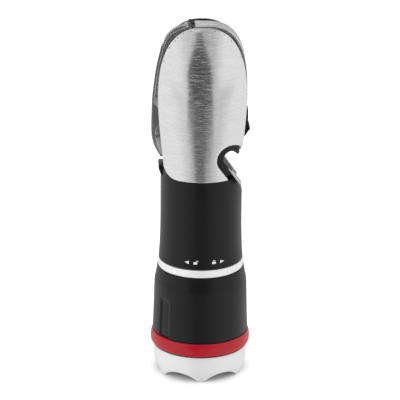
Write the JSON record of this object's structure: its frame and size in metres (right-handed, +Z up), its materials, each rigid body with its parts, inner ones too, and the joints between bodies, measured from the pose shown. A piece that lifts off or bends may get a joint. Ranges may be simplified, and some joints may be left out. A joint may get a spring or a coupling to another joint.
{
  "type": "multi-tool torch",
  "caption": "Hand torch that stands on its toothed lamp bezel, with folding tools between two brushed steel covers and a belt-cutter notch.",
  "frame": {"origin": "on the torch's axis, at the feet of the lamp bezel that it stands on", "axes": "+Z up along the torch to its tool end, -Y the front with the belt-cutter notch at its right, +X to the right seen from the front"},
  "size_m": [0.047, 0.047, 0.1703],
  "materials": {
    "black_plastic": "satin, soft to the touch",
    "inner_plastic": "moulded",
    "satin_silver": "satin, very even",
    "brushed_steel": "fine horizontal brushing",
    "tool_steel": "ground",
    "red_clear": "glossy, slightly see-through",
    "clear_lens": "polished",
    "led_epoxy": "clear dome",
    "reflector_chrome": "bright",
    "circuit_board": "solder mask",
    "brass": "plated",
    "rubber": "matt",
    "cell_skin": "printed sleeve"
  },
  "bodies": {
    "handle": {"battery_tube": "black_plastic", "battery_carrier": "inner_plastic", "battery_cell_1": "cell_skin", "battery_cell_2": "cell_skin", "battery_cell_3": "cell_skin", "tail_spring": "tool_steel", "frame_screw_1": "tool_steel", "frame_screw_2": "tool_steel", "frame_screw_3": "tool_steel", "frame_screw_4": "tool_steel", "switch_module": "inner_plastic", "switch_bezel": "satin_silver", "front_scale": "black_plastic", "back_scale": "black_plastic", "front_cover": "brushed_steel", "back_cover": "brushed_steel", "front_liner": "brushed_steel", "back_liner": "brushed_steel", "frame_strap": "brushed_steel", "stop_bar": "black_plastic", "tip_rest": "black_plastic", "cutter_insert": "brushed_steel", "belt_blade": "tool_steel", "belt_guide": "brushed_steel", "tool_pin": "tool_steel", "lock_pin": "tool_steel"},
    "lamp_head": {"crown_bezel": "satin_silver", "front_lens": "clear_lens", "lens_gasket": "rubber", "reflector": "reflector_chrome", "leds": "led_epoxy", "led_board": "circuit_board", "driver_board": "circuit_board", "contact_plate": "brass", "warning_ring": "red_clear", "head_shell": "black_plastic", "collar_ring": "satin_silver", "bayonet_sleeve": "inner_plastic", "seal_ring": "rubber"},
    "opener_tool": {"bottle_opener": "tool_steel"},
    "knife_tool": {"knife_blade": "tool_steel"},
    "saw_tool": {"saw_blade": "tool_steel"},
    "file_tool": {"file_blade": "tool_steel"},
    "lock": {"lock_lever": "black_plastic"},
    "button": {"switch_button": "rubber"}
  },
  "joints": [
    {"name": "head_twist", "type": "hinge", "parent": "handle", "child": "lamp_head", "pos_m": [0, 0, 0.054], "axis": [0, 0, 1], "range_deg": [0, 40]},
    {"name": "opener_fold", "type": "hinge", "parent": "handle", "child": "opener_tool", "pos_m": [-0.0105, 0, 0.155], "axis": [0, 1, 0], "range_deg": [0, 145]},
    {"name": "knife_fold", "type": "hinge", "parent": "handle", "child": "knife_tool", "pos_m": [-0.0105, 0, 0.155], "axis": [0, 1, 0], "range_deg": [0, 145]},
    {"name": "saw_fold", "type": "hinge", "parent": "handle", "child": "saw_tool", "pos_m": [-0.0105, 0, 0.155], "axis": [0, 1, 0], "range_deg": [0, 145]},
    {"name": "file_fold", "type": "hinge", "parent": "handle", "child": "file_tool", "pos_m": [-0.0105, 0, 0.155], "axis": [0, 1, 0], "range_deg": [0, 145]},
    {"name": "lock_press", "type": "hinge", "parent": "handle", "child": "lock", "pos_m": [0.016, 0, 0.139], "axis": [0, 1, 0], "range_deg": [0, 6], "stiffness_Nm_per_rad": 0.08, "springref_deg": -8.59},
    {"name": "button_press", "type": "slide", "parent": "handle", "child": "button", "axis": [0, -1, 0], "range_m": [0, 0.0009], "stiffness_N_per_m": 500, "springref_m": -0.0008}
  ]
}
